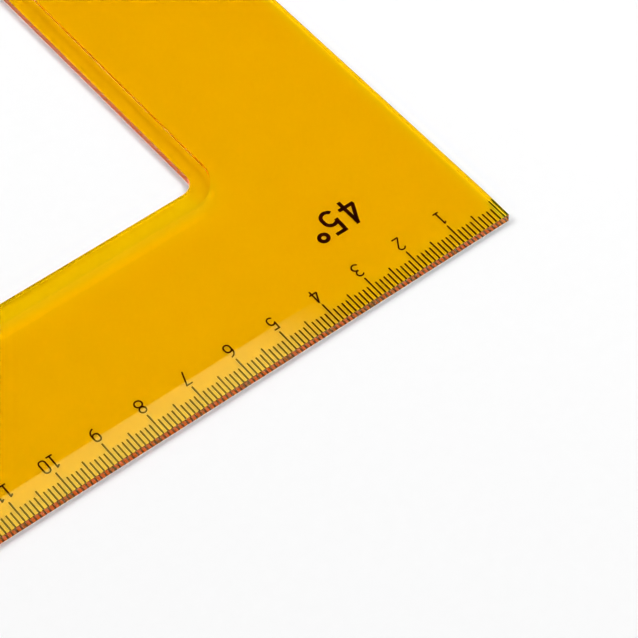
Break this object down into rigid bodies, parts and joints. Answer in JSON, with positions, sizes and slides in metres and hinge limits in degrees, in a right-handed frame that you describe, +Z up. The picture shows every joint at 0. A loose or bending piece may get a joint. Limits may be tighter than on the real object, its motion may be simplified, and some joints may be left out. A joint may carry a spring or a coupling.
{
  "type": "drafting triangle",
  "caption": "Transparent amber set square: a flat right triangle with equal legs, a triangular cut-out, a bevelled graduated leg and a lowered rim round the cut-out, for drawing lines and angles.",
  "frame": {"origin": "centre of the triangle's bounding box, on the underside", "axes": "+Z up through the plate's thickness; the graduated leg is the +Y edge, running along +X from its zero; the plain leg is the -X edge"},
  "size_m": [0.255, 0.255, 0.0022],
  "materials": {
    "plate": "clear amber acrylic, moulded and polished",
    "ink": "dark brown stamped foil print"
  },
  "bodies": {
    "root": {"plate": "plate", "zero_tick": "ink", "millimetre_ticks": "ink", "half_centimetre_ticks": "ink", "centimetre_ticks": "ink", "numeral_01": "ink", "numeral_02": "ink", "numeral_03": "ink", "numeral_04": "ink", "numeral_05": "ink", "numeral_06": "ink", "numeral_07": "ink", "numeral_08": "ink", "numeral_09": "ink", "numeral_10": "ink", "numeral_11": "ink", "numeral_12": "ink", "numeral_13": "ink", "numeral_14": "ink", "numeral_15": "ink", "numeral_16": "ink", "numeral_17": "ink", "numeral_18": "ink", "numeral_19": "ink", "numeral_20": "ink", "numeral_21": "ink", "numeral_22": "ink", "numeral_23": "ink", "numeral_24": "ink", "angle_mark": "ink"}
  },
  "joints": []
}
